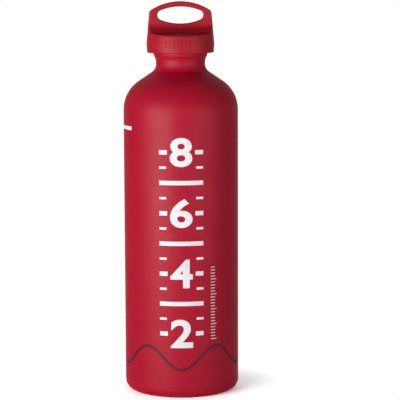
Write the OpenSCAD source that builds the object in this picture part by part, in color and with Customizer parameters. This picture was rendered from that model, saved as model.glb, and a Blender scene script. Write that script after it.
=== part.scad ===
// Camping fuel bottle of one litre, in millimetres.
// The bottle stands on z = 0 with its axis on Z, and the carrying loop faces -Y.
// A threaded plug closes the neck. The cap over it turns freely until it is pressed down,
// when its drive lugs drop between those of the plug and unscrew it.

/* [Barrel] */
// Outside diameter of the barrel
body_d = 80; // [72:0.5:92]
// Height of the straight side, from the ground to the start of the shoulder
barrel_h = 198.4; // [120:0.1:260]
// Thickness of the side wall
wall = 1; // [0.7:0.05:1.4]
// Radius of the heel, where the side turns under
heel_r = 7; // [4:0.5:10]
// Width of the flat ring that the bottle stands on
foot_w = 3.5; // [2:0.5:6]
// Rise of the dome that is pressed up into the base
dome_h = 6; // [3:0.5:8]
// Thickness of the base
base_t = 1.8; // [1.2:0.1:2.6]

/* [Shoulder and neck] */
// Radius of the round crown of the shoulder
crown_r = 24; // [18:0.5:30]
// Slope of the conical shoulder above the horizontal, in degrees
shoulder_slope = 34; // [26:1:40]
// Radius of the hollow where the shoulder runs into the neck
neck_fillet = 6.5; // [4:0.5:8]
// Outside diameter of the neck at its narrowest
neck_d = 34.3; // [32:0.1:38]
// Length of the narrowest part of the neck
neck_h = 1.7; // [1:0.1:6]
// How far the lip stands out from the neck
lip_roll = 1.75; // [1:0.05:2.5]
// Radius of both bends of the flare under the lip
flare_r = 6.1; // [4:0.1:8]
// Height of the upright band at the top of the lip
lip_band = 2; // [1.2:0.1:3]
// Radius on the upper outer edge of the lip
lip_edge_r = 0.8; // [0.3:0.1:1]

/* [Thread] */
// Wall of the threaded ring behind its thread
ring_wall = 1.85; // [1.2:0.05:2.5]
// Rise of the thread in one turn
pitch = 3; // [2.4:0.1:3.6]
// Turns of thread on the plug
plug_turns = 3; // [2:1:4]
// Part of a turn that the ring's thread stops short of the plug's
ring_short = 0.5; // [0.2:0.1:0.8]
// Height of the thread
thread_depth = 1.5; // [1:0.05:1.8]
// Width of the plug's thread at its crest
crest_w = 0.9; // [0.6:0.05:1.1]
// Width of one flank, measured along the axis
flank_w = 0.6; // [0.4:0.05:0.7]
// Radial clearance between the two threads
thread_gap = 0.3; // [0.2:0.05:0.5]
// Axial clearance on each flank
flank_gap = 0.15; // [0.1:0.05:0.25]
// Depth of the plain mouth above the ring's thread
mouth_h = 1; // [0.8:0.1:3]
// Length of the plain ends below the threads
tail_h = 1; // [0.8:0.1:3]
// Chamfer at the plain ends
end_chamfer = 0.6; // [0.3:0.1:0.7]

/* [Plug] */
// Thickness of the flange that seats on the seal
flange_t = 2.2; // [1.6:0.1:3]
// Wall of the hollow plug inside its thread
plug_wall = 2.6; // [1.8:0.1:3.5]
// Diameter of the well that holds the spring
well_d = 17; // [14:0.5:19]
// Depth of the well below the top of the flange
well_depth = 7.8; // [5:0.1:9]
// Thickness of the web between the well and the hollow below
web_t = 2.4; // [1.6:0.1:3]
// Half of the angle in which a vent slot interrupts the plug's thread
vent_half = 8; // [5:1:16]

/* [Seal] */
// Distance between the lip and the flange, which the clamped seal fills
seal_t = 1.6; // [1:0.1:2.5]
// How far the seal stays inside the edge of the lip
seal_inset = 0.7; // [0.4:0.1:1.5]
// Clearance between the seal and the core of the plug
seal_gap = 0.8; // [0.4:0.1:1.2]
// Clearance on each face of the seal
seal_face_gap = 0.02; // [0.01:0.01:0.05]

/* [Drive lugs] */
// Number of drive lugs on each side
lugs = 12; // [8:1:14]
// Width of a lug
lug_w = 3.2; // [2:0.1:3.4]
// Height of a lug
lug_h = 1.4; // [1:0.1:2]
// Radial length of the plug's lugs
lug_len = 4.8; // [3:0.1:5]
// How far the plug's lugs stop inside the rim of the flange
lug_inset = 1; // [0.6:0.1:2]
// Clearance between the two sets of lugs while the cap is up
lug_rest_gap = 0.8; // [0.4:0.1:1.2]

/* [Return spring] */
// Diameter of the spring wire
wire_d = 1.1; // [0.8:0.05:1.3]
// Turns of the spring
spring_turns = 4; // [3:0.5:4.5]
// Clearance between the spring and its well, on the radius
spring_gap = 0.9; // [0.5:0.1:1.5]
// Clearance at each end of the spring
spring_end_gap = 0.05; // [0.02:0.01:0.2]

/* [Cap skirt] */
// Clearance between the lip and the snap bead, on the radius
lip_gap = 0.85; // [0.5:0.05:1.5]
// How far the snap bead stands inwards under the flange
snap = 1.15; // [0.9:0.05:1.5]
// Height of the snap bead's inner face
snap_face = 0.6; // [0.4:0.1:1]
// Clearance between the snap bead and the flange
snap_gap = 0.1; // [0.05:0.05:0.3]
// Clearance between the skirt and the rim of the flange, on the radius
flange_gap = 0.6; // [0.4:0.05:0.8]
// Thickness of the skirt at its lower edge
cap_wall = 2.3; // [1.4:0.05:3]
// How far the skirt reaches below the top of the lip
skirt_drop = 2; // [1:0.1:4]
// Height of the parting line above the lower edge of the skirt
parting_h = 6; // [3:0.5:8]
// Draft of the skirt below the parting line, in degrees
lower_draft = 4.3; // [2:0.5:8]
// Draft of the cap above the parting line, in degrees
upper_draft = 5.1; // [2:0.1:7]
// Thickness of the roof at the rim of the skirt
roof_t = 2.9; // [1.6:0.1:3]

/* [Carrying loop] */
// Height of the loop above the rim of the skirt
loop_h = 23.1; // [20:0.1:32]
// Thickness of the loop from front to back
loop_t = 8; // [6:0.5:11]
// Radius of the hollow where the loop meets the ramp below it
scoop_r = 4.5; // [2:0.5:5]
// Fall of the ramp below the hollow, in degrees
ramp_slope = 36; // [20:1:40]
// Distance in front of the axis at which the ramp meets the shelf
ramp_foot = 10; // [9:0.5:13]
// Fall of the shelf from the ramp to its rim, in degrees
shelf_slope = 6.6; // [3:0.1:9]
// Radius of the arched top
arch_r = 38; // [30:1:60]
// Radius of the loop's two shoulders
loop_corner_r = 3.5; // [2:0.5:5]
// Height of the finger hole
hole_h = 11.8; // [9:0.1:14]
// Radius at the ends of the finger hole
hole_end_r = 3.5; // [2:0.1:4.2]
// Thickness of the bar above the finger hole
top_bar = 3.6; // [2.5:0.1:6]
// Width of the bars beside the finger hole
side_bar = 5.9; // [4:0.1:8]
// Wall left beside the pocket that cores out the web
pocket_wall = 2.2; // [1.6:0.1:2.6]

/* [Hidden] */
$fn = 96;
over = 1;            // overshoot of a cutter past the face it opens
columns = 48;        // facets round a thread
spring_columns = 24; // facets in one turn of the spring
wire_sides = 8;
spring_ease = 0.35;  // share by which the end turns lie closer than the middle ones
fade_turns = 1 / 6;  // part of a turn in which a thread rises to its full height
vent_at = 90;        // place of the vent slot round the plug, in degrees

// Shell
body_r = body_d / 2;
neck_r = neck_d / 2;
bore_r = neck_r - wall;
lip_r = neck_r + lip_roll;
dome_edge_r = body_r - heel_r - foot_w;
dome_r = (dome_edge_r * dome_edge_r + dome_h * dome_h) / (2 * dome_h);
slope_normal = [sin(shoulder_slope), cos(shoulder_slope)];
crown_c = [body_r - crown_r, barrel_h];
crown_end = crown_c + crown_r * slope_normal;
fillet_x = neck_r + neck_fillet;
fillet_z = crown_end.y
    + (neck_fillet - (fillet_x - crown_end.x) * slope_normal.x) / slope_normal.y;
fillet_c = [fillet_x, fillet_z];
flare_z = fillet_z + neck_h;
flare_h = sqrt(pow(2 * flare_r, 2) - pow(2 * flare_r - lip_roll, 2));
lip_z = flare_z + flare_h + lip_band;

// Threads: the ring's ridge lies midway between two turns of the plug's
thread_r = bore_r - ring_wall - thread_gap;
core_r = thread_r - thread_depth;
ridge_w = crest_w + 2 * flank_w;
ring_crest_w = pitch - ridge_w + 2 * flank_w * thread_gap / thread_depth - 2 * flank_gap;
ring_ridge_w = ring_crest_w + 2 * flank_w;
ring_thread_z = lip_z - mouth_h - ring_ridge_w - plug_turns * pitch;
ring_z = ring_thread_z - tail_h;
plug_thread_z = ring_thread_z + ring_ridge_w / 2 - pitch / 2 - ridge_w / 2;
plug_z = plug_thread_z - tail_h;

// Plug, seal and spring
seat_z = lip_z + seal_t;
flange_mid_z = seat_z + flange_t / 2;
plug_top_z = seat_z + flange_t;
well_z = plug_top_z - well_depth;
hollow_r = core_r - plug_wall;

// Cap
bead_r = lip_r + lip_gap;
cap_bore_r = bead_r + snap;
flange_r = cap_bore_r - flange_gap;
cap_foot_r = cap_bore_r + cap_wall;
cap_z = lip_z - skirt_drop;
parting_z = cap_z + parting_h;
parting_r = cap_foot_r + parting_h * tan(lower_draft);
lug_outer_r = flange_r - lug_inset;
lug_inner_r = lug_outer_r - lug_len;
roof_z = plug_top_z + 2 * lug_h + lug_rest_gap;
rim_z = roof_z + roof_t;
cap_top_z = rim_z + loop_h;
hole_z = cap_top_z - top_bar - hole_h / 2;

// Radius of the cap's cone at a height above the parting line
function cone_r(z) = parting_r - (z - parting_z) * tan(upper_draft);

// Share of its full height that a thread has after so many turns
function fade(turn, turns) =
    max(0, min(1, turn / fade_turns, (turns - turn) / fade_turns));

// Points of a threaded surface, one column after the other from the bottom up:
// a plain end, its chamfer edge, four corners for each turn, and the same at the top
function thread_points(r, ridge, z_low, z_high, z_start, crest, turns, low_dr, high_dr, vented) =
    let (corners = [[0, 0], [flank_w, 1], [flank_w + crest, 1], [2 * flank_w + crest, 0]])
    [for (i = [0 : columns - 1])
        let (
            a = 360 * i / columns,
            share = vented && abs(a - vent_at) < vent_half ? 0 : 1,
            rows = concat(
                [[r + low_dr, z_low], [r, z_low + end_chamfer]],
                [for (k = [0 : plug_turns - 1], c = corners)
                    let (turn = k + i / columns)
                    [r + ridge * share * c[1] * fade(turn, turns), z_start + pitch * turn + c[0]]],
                [[r, z_high - end_chamfer], [r + high_dr, z_high]]))
        for (p = rows) [p[0] * cos(a), p[0] * sin(a), p[1]]];

thread_rows = 4 * plug_turns + 4;
function at(column, row) = column * thread_rows + row;

// Two triangles between the rows m and m + 1 of one column and n and n + 1 of the next
function patch(left, right, m, n) = [
    [at(left, m), at(right, n), at(right, n + 1)],
    [at(left, m), at(right, n + 1), at(left, m + 1)]];

// Triangles of a threaded surface. Past the last column the rows have climbed one turn,
// so a row meets the one that is four places higher, and fans close what is left over.
function thread_faces() =
    let (last = columns - 1, top = thread_rows - 2, turn_rows = 4)
    concat(
        [for (i = [0 : last - 1], m = [0 : thread_rows - 2], t = patch(i, i + 1, m, m)) t],
        patch(last, 0, 0, 0),
        [for (n = [1 : turn_rows + 1]) [at(last, 1), at(0, n), at(0, n + 1)]],
        [[at(last, 1), at(0, turn_rows + 2), at(last, 2)]],
        [for (m = [2 : top - turn_rows - 2], t = patch(last, 0, m, m + turn_rows)) t],
        [[at(last, top - turn_rows - 1), at(0, top - 1), at(0, top)]],
        [for (m = [top - turn_rows - 1 : top - 1]) [at(last, m), at(0, top), at(last, m + 1)]],
        patch(last, 0, top, top));

function flipped(faces) = [for (f = faces) [f[2], f[1], f[0]]];

// Solid rod with the plug's thread, which ends halfway up the flange
module threaded_rod() {
    points = thread_points(core_r, thread_depth, plug_z, flange_mid_z, plug_thread_z, crest_w,
        plug_turns, -end_chamfer, 0, true);
    polyhedron(points, concat(
        flipped(thread_faces()),
        [[for (i = [0 : columns - 1]) at(i, 0)]],
        [[for (i = [columns - 1 : -1 : 0]) at(i, thread_rows - 1)]]));
}

// Nut with the ring's thread, larger outside than the ring that is cut from it
module threaded_nut() {
    outer = 2 * bore_r;
    count = columns * thread_rows;
    points = concat(
        thread_points(thread_r + thread_gap, -thread_depth, ring_z, lip_z, ring_thread_z,
            ring_crest_w, plug_turns - ring_short, end_chamfer, end_chamfer, false),
        [for (i = [0 : columns - 1], z = [ring_z, lip_z])
            [outer * cos(360 * i / columns), outer * sin(360 * i / columns), z]]);
    polyhedron(points, concat(
        thread_faces(),
        [for (i = [0 : columns - 1])
            let (
                j = (i + 1) % columns,
                low = count + 2 * i,
                low_next = count + 2 * j,
                top = thread_rows - 1)
            each [
                [low, low + 1, low_next + 1, low_next],
                [low, low_next, at(j, 0), at(i, 0)],
                [at(i, top), at(j, top), low_next + 1, low + 1]]]));
}

// Outline of the bottle, drawn in by t all round, with a flat floor
module bottle_outline(t, floor_z, top_z) {
    heel_x = body_r - heel_r;
    translate([0, heel_r]) square([body_r - t, barrel_h - heel_r]);
    translate([0, floor_z]) square([heel_x, heel_r - floor_z]);
    intersection() {
        translate([heel_x, heel_r]) circle(heel_r - t);
        translate([heel_x, floor_z]) square([heel_r, heel_r - floor_z]);
    }
    intersection() {
        translate(crown_c) circle(crown_r - t);
        translate([0, barrel_h]) square([body_r, crown_r]);
    }
    difference() {
        polygon([
            [0, barrel_h], crown_c, crown_end - t * slope_normal,
            fillet_c - (neck_fillet + t) * slope_normal,
            [neck_r - t, fillet_z], [0, fillet_z]]);
        translate(fillet_c) circle(neck_fillet + t);
    }
    translate([0, fillet_z]) square([neck_r - t, top_z - fillet_z]);
}

// Section of the flared lip, from the axis outwards
module lip_outline() {
    low_c = [neck_r + flare_r, flare_z];
    high_c = [lip_r - flare_r, flare_z + flare_h];
    middle = (low_c + high_c) / 2;
    difference() {
        polygon([[0, flare_z], [neck_r, flare_z], middle, [0, middle.y]]);
        translate(low_c) circle(flare_r);
    }
    polygon([[0, middle.y], middle, [lip_r, high_c.y], [0, high_c.y]]);
    intersection() {
        translate(high_c) circle(flare_r);
        translate([0, middle.y]) square([lip_r, high_c.y - middle.y]);
    }
    translate([0, high_c.y]) square([lip_r, lip_band - lip_edge_r]);
    translate([0, high_c.y]) square([lip_r - lip_edge_r, lip_band]);
    translate([lip_r - lip_edge_r, lip_z - lip_edge_r]) circle(lip_edge_r);
}

module bottle_shell() {
    color("crimson") rotate_extrude() difference() {
        union() {
            bottle_outline(0, 0, lip_z);
            lip_outline();
        }
        translate([0, dome_h - dome_r]) circle(dome_r);
        difference() {
            bottle_outline(wall, base_t, lip_z + over);
            translate([0, dome_h - dome_r]) circle(dome_r + base_t);
        }
    }
}

module thread_ring() {
    color("silver") intersection() {
        translate([0, 0, ring_z]) cylinder(h = lip_z - ring_z, r = bore_r);
        threaded_nut();
    }
}

module seal_ring() {
    thickness = seal_t - 2 * seal_face_gap;
    color("dimgray") translate([0, 0, lip_z + seal_face_gap]) difference() {
        cylinder(h = thickness, r = lip_r - seal_inset);
        translate([0, 0, -over]) cylinder(h = thickness + 2 * over, r = core_r + seal_gap);
    }
}

// Ring of drive lugs between two radii and two heights, one of them inside what carries it
module drive_lugs(inner, outer, low, high, turn) {
    for (k = [0 : lugs - 1])
        rotate([0, 0, turn + 360 * k / lugs])
            translate([inner, -lug_w / 2, low]) cube([outer - inner, lug_w, high - low]);
}

module plug() {
    color("#26262a") {
        difference() {
            union() {
                threaded_rod();
                rotate_extrude() {
                    translate([0, seat_z]) square([flange_r - flange_t / 2, flange_t]);
                    translate([flange_r - flange_t / 2, flange_mid_z]) circle(flange_t / 2);
                }
                drive_lugs(lug_inner_r, lug_outer_r, flange_mid_z, plug_top_z + lug_h, 0);
            }
            translate([0, 0, well_z]) cylinder(h = well_depth + over, d = well_d);
            translate([0, 0, plug_z - over])
                cylinder(h = well_z - web_t - plug_z + over, r = hollow_r);
        }
    }
}

// Coil whose end turns lie closer together than the middle ones
coil_r = well_d / 2 - spring_gap - wire_d / 2;
coil_low = well_z + spring_end_gap + wire_d / 2;
coil_rise = roof_z - spring_end_gap - wire_d / 2 - coil_low;
function coil_z(t) = coil_low + coil_rise * (t - spring_ease * sin(360 * t) / (2 * PI));
coil_steps = round(spring_turns * spring_columns);
turn_gaps = [for (i = [0 : coil_steps - spring_columns])
    coil_z((i + spring_columns) / coil_steps) - coil_z(i / coil_steps) - wire_d];
echo(least_gap_between_spring_turns = min(turn_gaps));

module return_spring() {
    points = [for (i = [0 : coil_steps], j = [0 : wire_sides - 1])
        let (
            a = 360 * i / spring_columns,
            b = 360 * j / wire_sides,
            r = coil_r + wire_d / 2 * cos(b))
        [r * cos(a), r * sin(a), coil_z(i / coil_steps) + wire_d / 2 * sin(b)]];
    sides = [for (i = [0 : coil_steps - 1], j = [0 : wire_sides - 1])
        let (
            low = i * wire_sides + j,
            high = i * wire_sides + (j + 1) % wire_sides)
        each [
            [low, high, high + wire_sides],
            [low, high + wire_sides, low + wire_sides]]];
    color("lightsteelblue") polyhedron(points, concat(
        sides,
        [[for (j = [wire_sides - 1 : -1 : 0]) j]],
        [[for (j = [0 : wire_sides - 1]) coil_steps * wire_sides + j]]));
}

// Oval of four tangent arcs, a wide and b high from its centre
module oval(a, b, end_r) {
    c = a - end_r;
    side_r = (c * c + b * b - end_r * end_r) / (2 * (b - end_r));
    join_x = c * side_r / (side_r - end_r);
    intersection() {
        translate([0, b - side_r]) circle(side_r);
        translate([0, side_r - b]) circle(side_r);
        square([2 * join_x, 2 * b + over], center = true);
    }
    for (s = [-1, 1]) translate([s * c, 0]) circle(end_r);
}

// What the arched top and its round shoulders take off, on the +X side of the front view
module loop_shoulder_cut() {
    arch_z = cap_top_z - arch_r;
    inner_r = arch_r - loop_corner_r;
    s = tan(upper_draft);
    b = cone_r(arch_z) - loop_corner_r / cos(upper_draft);
    u = (b * s + sqrt(b * b * s * s - (1 + s * s) * (b * b - inner_r * inner_r))) / (1 + s * s);
    corner = [b - s * u, arch_z + u];
    side = corner + loop_corner_r * [cos(upper_draft), sin(upper_draft)];
    arch = [0, arch_z] + (corner - [0, arch_z]) * arch_r / inner_r;
    high = cap_top_z + over;
    difference() {
        polygon([
            corner, side, side + [over, 0], [side.x + over, high], [arch.x, high], arch]);
        translate(corner) circle(loop_corner_r);
    }
    difference() {
        translate([-over, arch.y]) square([arch.x + over, high - arch.y]);
        translate([0, arch_z]) circle(arch_r);
    }
}

// Space in front of the loop: a shelf that falls to the rim, a steeper ramp behind it and
// the hollow above that. Its x is the distance in front of the axis.
module scoop_cut() {
    x = loop_t / 2 + scoop_r;
    rim_r = cone_r(rim_z);
    far = 2 * rim_r;
    foot = [ramp_foot, rim_z + (rim_r - ramp_foot) * tan(shelf_slope)];
    c = [x, foot.y + (foot.x - x) * tan(ramp_slope) + scoop_r / cos(ramp_slope)];
    ramp_top = c - scoop_r * [sin(ramp_slope), cos(ramp_slope)];
    high = cap_top_z + over;
    polygon([
        c, ramp_top, foot, [far, rim_z - (far - rim_r) * tan(shelf_slope)], [far, high],
        [loop_t / 2, high], [loop_t / 2, c.y]]);
    translate(c) circle(scoop_r);
}

module overcap() {
    wide = 4 * cap_foot_r;
    pocket_top = hole_z - hole_h / 2 - pocket_wall;
    pocket_half = cone_r(pocket_top) - pocket_wall;
    bead_z = seat_z - snap_gap;
    color("crimson") {
        difference() {
            rotate_extrude() polygon([
                [0, cap_z], [cap_foot_r, cap_z], [parting_r, parting_z],
                [cone_r(cap_top_z), cap_top_z], [0, cap_top_z]]);
            for (side = [0, 1]) mirror([0, side, 0])
                rotate([90, 0, 90]) linear_extrude(wide, center = true) scoop_cut();
            for (side = [0, 1]) mirror([side, 0, 0])
                rotate([90, 0, 0]) linear_extrude(wide, center = true) loop_shoulder_cut();
            translate([0, 0, hole_z]) rotate([90, 0, 0]) linear_extrude(wide, center = true)
                oval(cone_r(hole_z) - side_bar, hole_h / 2, hole_end_r);
            rotate_extrude() difference() {
                translate([0, cap_z - over]) square([cap_bore_r, roof_z - cap_z + over]);
                polygon([
                    [cap_bore_r + over, bead_z], [bead_r, bead_z], [bead_r, bead_z - snap_face],
                    [cap_bore_r, bead_z - snap_face - snap], [cap_bore_r + over, cap_z - over]]);
            }
            translate([-pocket_half, pocket_wall - loop_t / 2, roof_z - over])
                cube([2 * pocket_half, loop_t - 2 * pocket_wall, pocket_top - roof_z + over]);
        }
        drive_lugs(lug_inner_r, cap_bore_r + cap_wall / 2, roof_z - lug_h, roof_z + roof_t / 2,
            180 / lugs);
    }
}

bottle_shell();
thread_ring();
seal_ring();
plug();
return_spring();
overcap();
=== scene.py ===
from math import acos, asin, cos, degrees, pi, radians, sin, sqrt, tan

import bmesh
import bpy
from mathutils import Matrix, Vector


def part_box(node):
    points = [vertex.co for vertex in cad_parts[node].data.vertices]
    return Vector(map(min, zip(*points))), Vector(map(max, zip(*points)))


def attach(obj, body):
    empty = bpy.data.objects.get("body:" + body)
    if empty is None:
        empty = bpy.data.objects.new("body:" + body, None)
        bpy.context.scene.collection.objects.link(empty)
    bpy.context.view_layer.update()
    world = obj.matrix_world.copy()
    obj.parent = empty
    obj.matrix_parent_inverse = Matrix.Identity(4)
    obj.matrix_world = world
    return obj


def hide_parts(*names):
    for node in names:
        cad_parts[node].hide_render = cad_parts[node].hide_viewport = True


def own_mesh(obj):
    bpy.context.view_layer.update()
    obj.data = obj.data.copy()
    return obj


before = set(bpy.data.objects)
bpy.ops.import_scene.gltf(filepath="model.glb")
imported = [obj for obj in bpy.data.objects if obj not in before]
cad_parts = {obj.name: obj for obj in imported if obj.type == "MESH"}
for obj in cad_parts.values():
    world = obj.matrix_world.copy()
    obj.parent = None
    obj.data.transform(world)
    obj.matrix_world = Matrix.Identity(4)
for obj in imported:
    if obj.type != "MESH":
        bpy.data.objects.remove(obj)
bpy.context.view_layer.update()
mm = 0.001
nodeWeld = 0.002 * mm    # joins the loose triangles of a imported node
shapeWeld = 0.0005 * mm  # joins the seams of a shape made here
cutSlack = 0.001 * mm    # a point this near to a cutting plane counts as on it
print("frame loaded with", len(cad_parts), "nodes")


# Objects and shading

def linkNew(name, data):
    thing = bpy.data.objects.new(name, data)
    bpy.context.scene.collection.objects.link(thing)
    return thing


def meshFrom(bm, name):
    mesh = bpy.data.meshes.new(name)
    bm.to_mesh(mesh)
    bm.free()
    return mesh


def addPiece(name, bm, body, slot, *materials):
    piece = linkNew(name, meshFrom(bm, name))
    for material in materials:
        piece.data.materials.append(material)
    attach(piece, body)
    return piece


def closeUp(bm, sharpAngle):
    # Weld, turn the faces outwards, and shade smooth up to an angle
    bmesh.ops.remove_doubles(bm, verts=bm.verts, dist=shapeWeld)
    bmesh.ops.recalc_face_normals(bm, faces=bm.faces)
    shadeSmooth(bm, sharpAngle)


def shadeSmooth(bm, sharpAngle):
    for face in bm.faces:
        face.smooth = True
    for edge in bm.edges:
        edge.smooth = not edge.is_manifold or edge.calc_face_angle() < radians(sharpAngle)


def weldedCopy(node):
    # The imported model's triangles are loose, so the copy is welded first
    bm = bmesh.new()
    bm.from_mesh(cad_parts[node].data)
    bmesh.ops.remove_doubles(bm, verts=bm.verts, dist=nodeWeld)
    return bm


def readBack(source):
    # What a text or a modifier makes of the object, which is then removed
    mesh = bpy.data.meshes.new_from_object(
        source.evaluated_get(bpy.context.evaluated_depsgraph_get()))
    bpy.data.objects.remove(source)
    bm = bmesh.new()
    bm.from_mesh(mesh)
    bpy.data.meshes.remove(mesh)
    return bm


def cutAcross(bm, place, direction):
    bmesh.ops.bisect_plane(bm, geom=bm.verts[:] + bm.edges[:] + bm.faces[:], dist=cutSlack,
                           plane_co=place, plane_no=direction)


def roundEdges(bm, edges, offset, segments):
    bmesh.ops.bevel(bm, geom=edges, offset=offset, segments=segments, profile=0.5,
                    affect="EDGES", material=-1)


def bendRound(bm, arcRadius, radiusAt):
    # x becomes a distance round Z, and y the depth below the surface
    for vert in bm.verts:
        angle, reach = vert.co.x / arcRadius, radiusAt(vert.co.z) - vert.co.y
        vert.co.x, vert.co.y = reach * sin(angle), -reach * cos(angle)


# Materials

def newMaterial(name, colour, roughness, metallic=0.0, specular=0.5, faceOn=1.0):
    # faceOn is how much stronger the gloss is face on than the specular level gives
    material = bpy.data.materials.new(name)
    material.use_nodes = True
    shader = material.node_tree.nodes["Principled BSDF"]
    shader.inputs["Base Color"].default_value = (*colour, 1)
    shader.inputs["Roughness"].default_value = roughness
    shader.inputs["Metallic"].default_value = metallic
    shader.inputs["Specular IOR Level"].default_value = specular
    shader.inputs["Specular Tint"].default_value = (faceOn, faceOn, faceOn, 1)
    return material


def addNode(owner, kind, inputs=None, **settings):
    tree = owner.node_tree
    node = tree.nodes.new("ShaderNode" + kind)
    for name, value in settings.items():
        setattr(node, name, value)
    for name, value in (inputs or {}).items():
        if isinstance(value, bpy.types.NodeSocket):
            tree.links.new(value, node.inputs[name])
        else:
            node.inputs[name].default_value = value
    return node


def drive(material, name, socket):
    shader = material.node_tree.nodes["Principled BSDF"]
    material.node_tree.links.new(socket, shader.inputs[name])


def objectPlace(material):
    return addNode(material, "TexCoord").outputs["Object"]


def grain(material, place, size, detail=3.0):
    # Soft noise whose spots are about this large
    return addNode(material, "TexNoise", {
        "Vector": place, "Scale": 1 / size, "Detail": detail}).outputs["Fac"]


def ramp(owner, value, low, high, fromLow=0.35, fromHigh=0.65):
    # The usual range is the one in which most of the noise lies
    return addNode(owner, "MapRange", {
        "Value": value, "From Min": fromLow, "From Max": fromHigh,
        "To Min": low, "To Max": high}).outputs["Result"]


def blendColours(material, factor, first, second):
    mix = addNode(material, "Mix", data_type="RGBA")
    for index, value in ((0, factor), (6, first), (7, second)):
        if isinstance(value, bpy.types.NodeSocket):
            material.node_tree.links.new(value, mix.inputs[index])
        else:
            mix.inputs[index].default_value = (*value, 1)
    return mix.outputs[2]


def relief(material, height, depth, below=None):
    bump = addNode(material, "Bump", {"Height": height, "Distance": depth, "Strength": 1.0})
    if below is not None:
        material.node_tree.links.new(below, bump.inputs["Normal"])
    return bump.outputs["Normal"]


redCoat = dict(
    colour=(0.395, 0.001, 0.020), deepColour=(0.37, 0.001, 0.018), roughness=(0.44, 0.49),
    peelSize=0.9 * mm, peelDepth=0.016 * mm, fineSize=0.25 * mm, fineDepth=0.004 * mm,
    cloudSize=14 * mm, rubbedColour=(0.32, 0.31, 0.31), scuffSize=1.2 * mm,
    scuffHeight=(-0.25 * mm, 0.35 * mm), scuffEdge=0.12 * mm, specular=0.01, faceOn=22)


def redCoatMaterial():
    # Satin powder coat: orange peel, slight clouding, and dull grey where the foot rubs
    s = redCoat
    material = newMaterial("redCoat", s["colour"], s["roughness"][0], specular=s["specular"],
                           faceOn=s["faceOn"])
    place = objectPlace(material)
    cloud = grain(material, place, s["cloudSize"])
    fine = grain(material, place, s["fineSize"], detail=1.0)
    peel = grain(material, place, s["peelSize"], detail=1.0)
    height = addNode(material, "SeparateXYZ", {"Vector": place}).outputs["Z"]
    reach = ramp(material, grain(material, place, s["scuffSize"]), *s["scuffHeight"])
    scuff = addNode(material, "Math", {0: reach, 1: height}, operation="SUBTRACT")
    rubbed = ramp(material, scuff.outputs["Value"], 0, 1, 0, s["scuffEdge"])
    painted = blendColours(material, ramp(material, cloud, 0, 1), s["colour"], s["deepColour"])
    drive(material, "Base Color", blendColours(material, rubbed, painted, s["rubbedColour"]))
    drive(material, "Roughness", ramp(material, cloud, *s["roughness"]))
    normal = relief(material, peel, s["peelDepth"])
    drive(material, "Normal", relief(material, fine, s["fineDepth"], normal))
    return material


redPlastic = dict(
    colour=(0.385, 0.006, 0.016), deepColour=(0.36, 0.005, 0.015), roughness=(0.42, 0.48),
    grainSize=0.28 * mm, grainDepth=0.006 * mm, sinkSize=9 * mm, sinkDepth=0.03 * mm,
    specular=0.01, faceOn=22)


def redPlasticMaterial():
    # Moulded cap: fine spark-eroded grain over faint sink marks
    s = redPlastic
    material = newMaterial("redPlastic", s["colour"], s["roughness"][0],
                           specular=s["specular"], faceOn=s["faceOn"])
    place = objectPlace(material)
    sink = grain(material, place, s["sinkSize"], detail=1.0)
    fine = grain(material, place, s["grainSize"], detail=2.0)
    drive(material, "Base Color", blendColours(
        material, ramp(material, sink, 0, 1), s["colour"], s["deepColour"]))
    drive(material, "Roughness", ramp(material, fine, *s["roughness"]))
    normal = relief(material, sink, s["sinkDepth"])
    drive(material, "Normal", relief(material, fine, s["grainDepth"], normal))
    return material


inkFinish = dict(roughness=(0.42, 0.55), mottleSize=2.5 * mm, grainSize=0.5 * mm,
                 grainDepth=0.004 * mm)
whiteInkLook = dict(colour=(0.86, 0.84, 0.86), worn=(0.80, 0.78, 0.80), specular=0.3,
                    faceOn=1)
darkInkLook = dict(colour=(0.080, 0.006, 0.019), worn=(0.095, 0.007, 0.022), specular=0.01,
                   faceOn=22)


def inkMaterial(name, colour, worn, specular, faceOn):
    # Screen-printed ink with a faint mottle
    s = inkFinish
    material = newMaterial(name, colour, s["roughness"][0], specular=specular, faceOn=faceOn)
    place = objectPlace(material)
    mottle = grain(material, place, s["mottleSize"])
    drive(material, "Base Color", blendColours(
        material, ramp(material, mottle, 0, 1), colour, worn))
    drive(material, "Roughness", ramp(material, mottle, *s["roughness"]))
    drive(material, "Normal", relief(
        material, grain(material, place, s["grainSize"]), s["grainDepth"]))
    return material


metalFinish = dict(lineWidth=0.12 * mm, lineDepth=0.006 * mm, cloudSize=6 * mm, dulled=0.88)
aluminiumLook = dict(colour=(0.80, 0.80, 0.81), roughness=(0.22, 0.36))
steelLook = dict(colour=(0.62, 0.62, 0.64), roughness=(0.18, 0.30))


def turnedMetalMaterial(name, colour, roughness):
    # Bare metal with fine rings from the lathe: noise that doesn't change round the axis
    s = metalFinish
    material = newMaterial(name, colour, roughness[0], metallic=1.0)
    place = objectPlace(material)
    parts = addNode(material, "SeparateXYZ", {"Vector": place})
    flat = addNode(material, "CombineXYZ", {
        "X": parts.outputs["X"], "Y": parts.outputs["Y"]})
    radius = addNode(material, "VectorMath", {0: flat.outputs["Vector"]}, operation="LENGTH")
    ring = addNode(material, "CombineXYZ", {
        "X": radius.outputs["Value"], "Z": parts.outputs["Z"]}).outputs["Vector"]
    lines = grain(material, ring, s["lineWidth"], detail=2.0)
    drive(material, "Roughness", ramp(material, lines, *roughness))
    drive(material, "Base Color", blendColours(
        material, ramp(material, grain(material, place, s["cloudSize"]), 0, 1), colour,
        [s["dulled"] * part for part in colour]))
    drive(material, "Normal", relief(material, lines, s["lineDepth"]))
    return material


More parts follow.
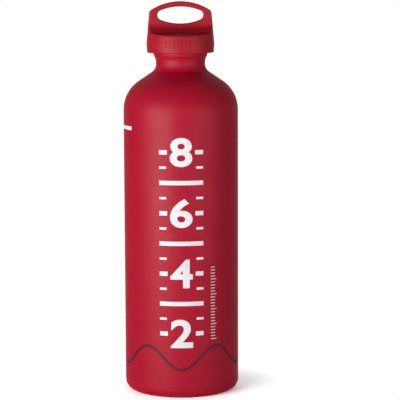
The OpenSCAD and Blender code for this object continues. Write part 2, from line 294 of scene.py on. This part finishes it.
bloomSize = 5 * mm
blackLook = dict(
    colour=(0.022, 0.022, 0.024), paler=(0.034, 0.034, 0.036), roughness=(0.42, 0.60),
    grainSize=0.3 * mm, grainDepth=0.008 * mm)
rubberLook = dict(
    colour=(0.018, 0.018, 0.018), paler=(0.035, 0.034, 0.033), roughness=(0.62, 0.80),
    grainSize=0.2 * mm, grainDepth=0.006 * mm)


def darkMaterial(name, colour, paler, roughness, grainSize, grainDepth):
    # Moulded black plastic or rubber with a matt grain and a faint bloom
    material = newMaterial(name, colour, roughness[0])
    place = objectPlace(material)
    fine = grain(material, place, grainSize, detail=2.0)
    bloom = grain(material, place, bloomSize)
    drive(material, "Base Color", blendColours(
        material, ramp(material, bloom, 0, 1), colour, paler))
    drive(material, "Roughness", ramp(material, fine, *roughness))
    drive(material, "Normal", relief(material, fine, grainDepth))
    return material


coatFinish = redCoatMaterial()
plasticFinish = redPlasticMaterial()
whiteInk = inkMaterial("whiteInk", **whiteInkLook)
darkInk = inkMaterial("darkRedInk", **darkInkLook)
aluminiumFinish = turnedMetalMaterial("bareAluminium", **aluminiumLook)
steelFinish = turnedMetalMaterial("springSteel", **steelLook)
blackFinish = darkMaterial("blackPlastic", **blackLook)
rubberFinish = darkMaterial("sealRubber", **rubberLook)
print("materials made")


# Outlines for turned shapes, drawn as a wire in the XZ plane

arcStep = 4  # degrees of arc to each edge


def startAt(bm, x, z):
    return bm.verts.new((x, 0, z))


def lineTo(bm, last, x, z):
    fresh = bmesh.ops.extrude_vert_indiv(bm, verts=[last])["verts"][0]
    fresh.co = (x, 0, z)
    return fresh


def arcAbout(bm, last, centre, angle):
    # A positive angle turns from +X towards +Z
    swept = bmesh.ops.spin(
        bm, geom=[last], cent=(centre[0], 0, centre[1]), axis=(0, -1, 0),
        angle=radians(angle), steps=max(2, round(abs(angle) / arcStep)), use_duplicate=False)
    return swept["geom_last"][0]


def turnWire(bm, steps, materialIndex):
    # Spin what is still bare wire once round Z
    finished = set(bm.faces)
    wire = [v for v in bm.verts if not v.link_faces] + [e for e in bm.edges if not e.link_faces]
    bmesh.ops.spin(bm, geom=wire, cent=(0, 0, 0), axis=(0, 0, 1), angle=2 * pi, steps=steps,
                   use_merge=True, use_duplicate=False)
    for face in bm.faces:
        if face not in finished:
            face.material_index = materialIndex


# Bottle shell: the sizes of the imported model, drawn again as one smooth turned skin

shell = dict(
    steps=224, barrelHeight=198.4 * mm, wall=1 * mm, heelRadius=7 * mm, footWidth=3.5 * mm,
    domeHeight=6 * mm, baseThickness=1.8 * mm, crownRadius=24 * mm, shoulderSlope=34,
    neckFillet=6.5 * mm, neckRadius=17.15 * mm, neckLength=1.7 * mm, lipRoll=1.75 * mm,
    flareRadius=6.1 * mm, lipBand=2 * mm, lipEdge=0.8 * mm, sharp=35)


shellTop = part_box("bottle_shell")[1]
bodyRadius, lipHeight = shellTop.x, shellTop.z


def makeShell():
    s = shell
    wall, slope = s["wall"], radians(s["shoulderSlope"])
    crownTurn = 90 - s["shoulderSlope"]
    slopeNormal = Vector((sin(slope), cos(slope)))
    heel = Vector((bodyRadius - s["heelRadius"], s["heelRadius"]))
    crown = Vector((bodyRadius - s["crownRadius"], s["barrelHeight"]))
    crownEnd = crown + s["crownRadius"] * slopeNormal
    filletX = s["neckRadius"] + s["neckFillet"]
    fillet = Vector((filletX, crownEnd.y + (
        s["neckFillet"] - (filletX - crownEnd.x) * slopeNormal.x) / slopeNormal.y))
    lipRadius = s["neckRadius"] + s["lipRoll"]
    flareTurn = degrees(acos(1 - s["lipRoll"] / (2 * s["flareRadius"])))
    flareLow = Vector((s["neckRadius"] + s["flareRadius"], fillet.y + s["neckLength"]))
    flareHigh = Vector((lipRadius - s["flareRadius"], lipHeight - s["lipBand"]))
    domeEdge = heel.x - s["footWidth"]
    domeRadius = (domeEdge ** 2 + s["domeHeight"] ** 2) / (2 * s["domeHeight"])
    domeCentre = Vector((0, s["domeHeight"] - domeRadius))
    domeTurn = degrees(asin(domeEdge / domeRadius))

    bm = bmesh.new()  # the coated outside, from the middle of the base to the lip
    pen = startAt(bm, 0, s["domeHeight"])
    pen = arcAbout(bm, pen, domeCentre, -domeTurn)
    pen = lineTo(bm, pen, heel.x, 0)
    pen = arcAbout(bm, pen, heel, 90)
    pen = lineTo(bm, pen, bodyRadius, s["barrelHeight"])
    pen = arcAbout(bm, pen, crown, crownTurn)
    pen = lineTo(bm, pen, *(fillet - s["neckFillet"] * slopeNormal))
    pen = arcAbout(bm, pen, fillet, -crownTurn)
    pen = lineTo(bm, pen, s["neckRadius"], flareLow.y)
    pen = arcAbout(bm, pen, flareLow, -flareTurn)
    pen = arcAbout(bm, pen, flareHigh, flareTurn)
    pen = lineTo(bm, pen, lipRadius, lipHeight - s["lipEdge"])
    pen = arcAbout(bm, pen, (lipRadius - s["lipEdge"], lipHeight - s["lipEdge"]), 90)
    turnWire(bm, s["steps"], 0)

    boreRadius = s["neckRadius"] - wall  # the bare inside, from the lip down to the floor
    innerHeel = s["heelRadius"] - wall
    innerHeelTurn = degrees(asin((s["heelRadius"] - s["baseThickness"]) / innerHeel))
    innerDome = domeRadius + s["baseThickness"]
    floorX = sqrt(innerDome ** 2 - (s["baseThickness"] - domeCentre.y) ** 2)
    pen = startAt(bm, lipRadius - s["lipEdge"], lipHeight)
    pen = lineTo(bm, pen, boreRadius, lipHeight)
    pen = lineTo(bm, pen, boreRadius, fillet.y)
    pen = arcAbout(bm, pen, fillet, crownTurn)
    pen = lineTo(bm, pen, *(crownEnd - wall * slopeNormal))
    pen = arcAbout(bm, pen, crown, -crownTurn)
    pen = lineTo(bm, pen, bodyRadius - wall, s["heelRadius"])
    pen = arcAbout(bm, pen, heel, -innerHeelTurn)
    pen = lineTo(bm, pen, floorX, s["baseThickness"])
    arcAbout(bm, pen, domeCentre, degrees(asin(floorX / innerDome)))
    turnWire(bm, s["steps"], 1)
    closeUp(bm, s["sharp"])
    piece = addPiece("bottleSkin", bm, "bottle", "red_coat", coatFinish, aluminiumFinish)
    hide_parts("bottle_shell")


makeShell()
print("shell turned")


# Prints: thin shapes drawn flat, x to the right and z upwards, then wrapped round the barrel

ink = dict(proud=0.03 * mm, thickness=0.06 * mm, weld=0.0001 * mm, slice=1 * mm, sharp=30)


def flatBar(width, height, x, z):
    bm = bmesh.new()
    slices = max(2, round(width / ink["slice"]))
    bmesh.ops.create_grid(bm, x_segments=slices, y_segments=1, size=0.5)
    bmesh.ops.transform(bm, verts=bm.verts, matrix=Matrix.Translation((x, 0, z))
                        @ Matrix.Rotation(radians(90), 4, "X")
                        @ Matrix.Diagonal((width, height, 1, 1)))
    return bm


def embolden(bm, thicken):
    # Move every point of the outline outwards, square to the two edges that meet there
    outward = {}
    for edge in bm.edges:
        if edge.is_boundary:
            along = edge.verts[1].co - edge.verts[0].co
            side = along.cross(Vector((0, 0, 1))).normalized()
            middle = (edge.verts[0].co + edge.verts[1].co) / 2
            if side.dot(edge.link_faces[0].calc_center_median() - middle) > 0:
                side.negate()
            for vert in edge.verts:
                outward.setdefault(vert, []).append(side)
    for vert, (first, second) in outward.items():
        vert.co += (first + second) * thicken / (1 + first.dot(second))


# The weld and the bold are in parts of the font's own size
numeral = dict(curveSteps=6, weld=0.0001, bold=0.028)


def flatNumeral(text, height, width, x, z):
    # The plain built-in font, made bold, scaled to size and cut so that it can bend
    s = numeral
    curve = bpy.data.curves.new("numeral", "FONT")
    curve.body, curve.size, curve.resolution_u = text, 1, s["curveSteps"]
    bm = readBack(linkNew("numeral", curve))
    bmesh.ops.remove_doubles(bm, verts=bm.verts, dist=s["weld"])
    embolden(bm, s["bold"])
    xs, ys = [v.co.x for v in bm.verts], [v.co.y for v in bm.verts]
    middle = Vector(((min(xs) + max(xs)) / 2, (min(ys) + max(ys)) / 2, 0))
    scale = (width / (max(xs) - min(xs)), height / (max(ys) - min(ys)), 1)
    bmesh.ops.transform(bm, verts=bm.verts, matrix=Matrix.Translation((x, 0, z))
                        @ Matrix.Rotation(radians(90), 4, "X") @ Matrix.Diagonal((*scale, 1))
                        @ Matrix.Translation(-middle))
    cut = x - width / 2 + ink["slice"]
    while cut < x + width / 2:
        cutAcross(bm, (cut, 0, 0), (1, 0, 0))
        cut += ink["slice"]
    bmesh.ops.recalc_face_normals(bm, faces=bm.faces)
    return bm


def wrapPrint(name, flats, material):
    # Thicken the flat shapes and bend them round the bottle's axis
    bm = bmesh.new()
    for flat in flats:
        mesh = meshFrom(flat, "flat")
        bm.from_mesh(mesh)
        bpy.data.meshes.remove(mesh)
    for vert in bm.verts:
        vert.co.y = -ink["proud"]
    fronts = bm.faces[:]
    for face in fronts:
        if face.normal.y > 0:
            face.normal_flip()
    skin = bmesh.ops.extrude_face_region(bm, geom=fronts, use_keep_orig=True)["geom"]
    for item in skin:
        if isinstance(item, bmesh.types.BMVert):
            item.co.y = ink["thickness"] - ink["proud"]
    bendRound(bm, bodyRadius, lambda z: bodyRadius)
    bmesh.ops.remove_doubles(bm, verts=bm.verts, dist=ink["weld"])
    # Where the two ends of a band have met, their shared face comes out
    seam = [f for f in bm.faces if all(len(e.link_faces) > 2 for e in f.edges)]
    bmesh.ops.delete(bm, geom=seam, context="FACES_ONLY")
    bmesh.ops.recalc_face_normals(bm, faces=bm.faces)
    shadeSmooth(bm, ink["sharp"])
    addPiece(name, bm, "bottle", "red_coat", material)


levels = dict(
    lowest=2, highest=8, perDecilitre=20.93 * mm, zero=4.6 * mm, halfWidth=15.4 * mm,
    barHeight=3 * mm, numeralHeight=20 * mm, numeralWidth=15.5 * mm, numeralGap=2 * mm,
    tickWidth=5 * mm, tickHeight=1.6 * mm)


def makeLevels():
    # One bold scale up the front: numerals at the even decilitres, bars at the odd ones
    s = levels
    flats = []
    for decilitre in range(s["lowest"], s["highest"] + 1):
        z = s["zero"] + s["perDecilitre"] * decilitre
        if decilitre % 2:
            flats.append(flatBar(2 * s["halfWidth"], s["barHeight"], 0, z))
        else:
            flats.append(flatNumeral(
                str(decilitre), s["numeralHeight"], s["numeralWidth"], 0, z))
            inner = s["numeralWidth"] / 2 + s["numeralGap"]
            for side in (-1, 1):
                flats.append(flatBar(s["halfWidth"] - inner, s["barHeight"],
                                     side * (s["halfWidth"] + inner) / 2, z))
        if decilitre < s["highest"]:
            for side in (-1, 1):
                flats.append(flatBar(s["tickWidth"], s["tickHeight"],
                                     side * (s["halfWidth"] - s["tickWidth"] / 2),
                                     z + s["perDecilitre"] / 2))
    wrapPrint("levelScale", flats, whiteInk)


fineScale = dict(x=23.4 * mm, perStep=2.093 * mm, first=17.8, count=25, longEvery=5,
                 width=3.4 * mm, longWidth=4.6 * mm, height=0.55 * mm)


def makeFineScale():
    # Fine ticks beside the scale, with their left ends in line
    s = fineScale
    flats = []
    for step in range(s["count"]):
        wide = s["width"] if step % s["longEvery"] else s["longWidth"]
        z = levels["zero"] + s["perStep"] * (s["first"] + step)
        flats.append(flatBar(wide, s["height"], s["x"] - s["longWidth"] / 2 + wide / 2, z))
    wrapPrint("fineScale", flats, whiteInk)


fillMark = dict(z=187 * mm, height=2.6 * mm, fromAngle=-58, toAngle=-118)


def makeFillMark():
    # A bar on the left that shows how far to fill the bottle
    s = fillMark
    width = radians(abs(s["toAngle"] - s["fromAngle"])) * bodyRadius
    middle = radians((s["fromAngle"] + s["toAngle"]) / 2) * bodyRadius
    wrapPrint("fillMark", [flatBar(width, s["height"], middle, s["z"])], whiteInk)


wave = dict(waves=5, swing=8 * mm, z=29 * mm, lineWidth=2.1 * mm, stepsPerWave=40)


def makeWave():
    # A regular dark wave all round the barrel, as wide on its slopes as on its crests
    s = wave
    bm = bmesh.new()
    length = 2 * pi * bodyRadius
    bmesh.ops.create_grid(bm, x_segments=s["waves"] * s["stepsPerWave"], y_segments=1, size=0.5)
    for vert in bm.verts:
        along, side = vert.co.x * length, vert.co.y * s["lineWidth"]
        phase = 2 * pi * s["waves"] * vert.co.x
        steep = 2 * pi * s["waves"] / length * s["swing"] * sin(phase)
        tilt = Vector((-steep, 1)).normalized()
        vert.co = (along + side * tilt.x, 0, s["z"] - s["swing"] * cos(phase) + side * tilt.y)
    wrapPrint("waveLine", [bm], darkInk)


makeLevels()
makeFineScale()
makeFillMark()
makeWave()
print("prints wrapped")


# Cap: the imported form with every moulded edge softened

cap = dict(
    voxel=0.36 * mm, outsidePasses=9, insidePasses=3, passFactor=0.5,
    insideRadius=21.3 * mm, insideMargin=0.4 * mm, rimHeight=1.5 * mm, sharp=180)


def evenSkin(bm, name, voxel):
    # Small quads of one size over the welded solid
    source = linkNew(name, meshFrom(bm, name))
    remesh = source.modifiers.new("skin", "REMESH")
    remesh.mode, remesh.voxel_size = "VOXEL", voxel
    return readBack(source)


def makeCap():
    # The inside and the rim get only the first passes, so that they stay crisp
    s = cap
    bm = evenSkin(weldedCopy("overcap"), "capSkin", s["voxel"])
    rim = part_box("overcap")[0].z + s["rimHeight"]
    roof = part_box("return_spring")[1].z + s["insideMargin"]
    crisp = {v for v in bm.verts if v.co.z < rim
             or v.co.z < roof and v.co.xy.length < s["insideRadius"]}
    outside = [v for v in bm.verts if v not in crisp]
    for step in range(s["outsidePasses"]):
        some = bm.verts[:] if step < s["insidePasses"] else outside
        bmesh.ops.smooth_vert(bm, verts=some, factor=s["passFactor"], use_axis_x=True,
                              use_axis_y=True, use_axis_z=True)
    shadeSmooth(bm, s["sharp"])
    piece = addPiece("capSkin", bm, "cap", "red_plastic", plasticFinish)
    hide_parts("overcap")


grip = dict(
    bars=7, width=1.3 * mm, height=5.2 * mm, pitch=2.7 * mm, proud=0.3 * mm, root=0.4 * mm,
    x=-2.3 * mm, z=244.2 * mm, corner=0.45, cornerSteps=4, edge=0.12 * mm, edgeSteps=2,
    sharp=40, partingHeight=6 * mm, lowerDraft=4.3, upperDraft=5.1)


def makeGripBars():
    # Raised bars on the front of the skirt, rooted in it
    s = grip
    low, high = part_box("overcap")
    parting = low.z + s["partingHeight"]

    def skirtRadius(z):  # the parting line is the widest place
        draft = s["upperDraft"] if z > parting else -s["lowerDraft"]
        return high.x - (z - parting) * tan(radians(draft))

    bm = bmesh.new()
    for index in range(s["bars"]):
        x = s["x"] + (index - (s["bars"] - 1) / 2) * s["pitch"]
        made = bmesh.ops.create_cube(bm, size=1, matrix=Matrix.Translation((x, 0, s["z"]))
                                     @ Matrix.Diagonal((s["width"], 1, s["height"], 1)))
        corners = list({e for v in made["verts"] for e in v.link_edges
                        if v.co.y * e.other_vert(v).co.y < 0})
        roundEdges(bm, corners, s["width"] * s["corner"], s["cornerSteps"])
    for vert in bm.verts:
        vert.co.y = -s["proud"] if vert.co.y < 0 else s["root"]
    cutAcross(bm, (0, 0, parting), (0, 0, 1))
    rims = [e for e in bm.edges if all(v.co.y < 0 for v in e.verts)
            and any(abs(f.normal.y) < 0.5 for f in e.link_faces)]
    roundEdges(bm, rims, s["edge"], s["edgeSteps"])
    bendRound(bm, high.x, skirtRadius)
    closeUp(bm, s["sharp"])
    addPiece("capGripBars", bm, "cap", "red_plastic", plasticFinish)


makeCap()
makeGripBars()
print("cap softened")


# Closure parts under the cap

turnedSharp = 32  # edges of the turned and moulded parts sharper than this stay crisp


def dressPart(node, name, body, slot, material):
    bm = weldedCopy(node)
    shadeSmooth(bm, turnedSharp)
    piece = addPiece(name, bm, body, slot, material)
    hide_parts(node)


spring = dict(turns=4, stepsPerTurn=36, wire=1.1 * mm, coilRadius=7.05 * mm, ease=0.35,
              wireSides=12, sharp=50, travel=1.8 * mm)


def makeSpring():
    # The wire's round section is carried up the coil, whose end turns lie closer
    s = spring
    low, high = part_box("return_spring")
    steps = s["turns"] * s["stepsPerTurn"]
    rise = high.z - low.z - s["wire"]
    bm = bmesh.new()
    section = bmesh.ops.create_circle(
        bm, cap_ends=True, segments=s["wireSides"], radius=s["wire"] / 2,
        matrix=Matrix.Translation((s["coilRadius"], 0, low.z + s["wire"] / 2))
        @ Matrix.Rotation(radians(90), 4, "X"))
    front = list({f for v in section["verts"] for f in v.link_faces})

    def height(share):
        return rise * (share - s["ease"] * sin(2 * pi * share) / (2 * pi))

    for step in range(steps):
        climb = height((step + 1) / steps) - height(step / steps)
        turned = bmesh.ops.spin(
            bm, geom=front, cent=(0, 0, 0), axis=(0, 0, 1), dvec=(0, 0, climb),
            angle=2 * pi / s["stepsPerTurn"], steps=1, use_duplicate=False)
        if step:  # only the first face stays, as the wire's end
            bmesh.ops.delete(bm, geom=front, context="FACES_ONLY")
        front = [g for g in turned["geom_last"] if isinstance(g, bmesh.types.BMFace)]
    closeUp(bm, s["sharp"])
    piece = addPiece("springWire", bm, "spring", "spring_steel", steelFinish)
    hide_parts("return_spring")
    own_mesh(piece)


dressPart("plug", "plugBody", "plug", "black_plastic", blackFinish)
dressPart("seal_ring", "sealRubberRing", "seal", "seal_rubber", rubberFinish)
dressPart("thread_ring", "neckThreadRing", "bottle", "bare_aluminium", aluminiumFinish)
makeSpring()
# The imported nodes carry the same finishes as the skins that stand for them
for node, finish in (("bottle_shell", coatFinish), ("overcap", plasticFinish),
                     ("plug", blackFinish), ("seal_ring", rubberFinish),
                     ("thread_ring", aluminiumFinish), ("return_spring", steelFinish)):
    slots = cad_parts[node].data.materials
    slots.clear()
    slots.append(finish)
print("closure parts dressed")


# Floor, light and camera

softboxAim = Vector((0, 0, 0.13))
keySoftbox = dict(angle=-42, height=0.12, distance=0.95, size=(0.72, 0.40), power=10.2)
fillSoftbox = dict(angle=38, height=0.12, distance=0.95, size=(1.1, 0.50), power=4.0)


def addSoftbox(name, angle, height, distance, size, power):
    # The angle is measured round Z from the front, towards the right
    light = bpy.data.lights.new(name, "AREA")
    light.shape, light.energy = "RECTANGLE", power
    light.size, light.size_y = size
    lamp = linkNew(name, light)
    turn = radians(angle)
    spot = Vector((distance * sin(turn), -distance * cos(turn), height))
    lamp.location = spot
    lamp.rotation_euler = (softboxAim - spot).to_track_quat("-Z", "Y").to_euler()


def seenDirectly(owner):
    # 1 for what the camera sees, by itself or in gloss and glass
    path = addNode(owner, "LightPath").outputs
    seen = path["Is Camera Ray"]
    for name in ("Is Glossy Ray", "Is Transmission Ray"):
        seen = addNode(owner, "Math", {0: seen, 1: path[name]}, operation="MAXIMUM").outputs[0]
    return seen


def mixShaders(owner, factor, first, second):
    return addNode(owner, "MixShader", {0: factor, 1: first, 2: second}).outputs[0]


surroundings = dict(around=0.045, behind=1.1, behindFrom=0.5)


def makeWorld():
    # A little light from all round, and more from behind, where the softboxes don't reach
    s = surroundings
    world = bpy.data.worlds.new("studio")
    bpy.context.scene.world = world
    world.use_nodes = True
    tree = world.node_tree
    sky = addNode(world, "TexCoord").outputs["Generated"]
    depth = addNode(world, "SeparateXYZ", {"Vector": sky}).outputs["Y"]
    level = ramp(world, depth, s["around"], s["behind"], s["behindFrom"], 1)
    dim = addNode(world, "Background", {"Color": (1, 1, 1, 1), "Strength": level})
    white = addNode(world, "Background", {"Color": (1, 1, 1, 1), "Strength": 1})
    mixed = mixShaders(world, seenDirectly(world), dim.outputs[0], white.outputs[0])
    tree.links.new(mixed, tree.nodes["World Output"].inputs["Surface"])
    tree.nodes.remove(tree.nodes["Background"])


paleFloor = dict(radius=1.6, sides=96, colour=(0.86, 0.86, 0.86), roughness=0.9,
                 paperColour=(3.35, 4.0, 4.0), shadowFrom=0.050, shadowTo=0.076)


def makeFloor():
    # The camera sees the lit floor as white paper, so that only real shadow darkens it
    s = paleFloor
    bm = bmesh.new()
    bmesh.ops.create_circle(bm, cap_ends=True, segments=s["sides"], radius=s["radius"])
    floor = linkNew("floor", meshFrom(bm, "floor"))
    material = newMaterial("paleFloor", s["colour"], s["roughness"], specular=0.0)
    floor.data.materials.append(material)
    tree = material.node_tree
    reach = addNode(material, "VectorMath", {0: objectPlace(material)}, operation="LENGTH")
    plain = ramp(material, reach.outputs["Value"], 0, 1, s["shadowFrom"], s["shadowTo"])
    paper = addNode(material, "BsdfDiffuse", {"Color": (*s["paperColour"], 1)})
    white = addNode(material, "Emission", {"Color": (1, 1, 1, 1), "Strength": 1.0})
    shown = mixShaders(material, plain, paper.outputs[0], white.outputs[0])
    lit = tree.nodes["Principled BSDF"].outputs[0]
    tree.links.new(mixShaders(material, seenDirectly(material), lit, shown),
                   tree.nodes["Material Output"].inputs["Surface"])


shot = dict(lens=163.35, sensor=36, distance=1.268, height=0.2974, pitch=7.95, roll=-0.29,
            shiftX=0.0467, shiftY=0.0495)


def makeCamera():
    s = shot
    lens = bpy.data.cameras.new("camera")
    lens.lens, lens.sensor_width = s["lens"], s["sensor"]
    lens.shift_x, lens.shift_y = s["shiftX"], s["shiftY"]
    camera = linkNew("camera", lens)
    camera.matrix_world = (Matrix.Translation((0, -s["distance"], s["height"]))
                           @ Matrix.Rotation(radians(90 - s["pitch"]), 4, "X")
                           @ Matrix.Rotation(radians(s["roll"]), 4, "Z"))
    bpy.context.scene.camera = camera


addSoftbox("keySoftbox", **keySoftbox)
addSoftbox("fillSoftbox", **fillSoftbox)
makeWorld()
makeFloor()
makeCamera()
bpy.context.scene.view_settings.view_transform = "Standard"
print("studio set up")
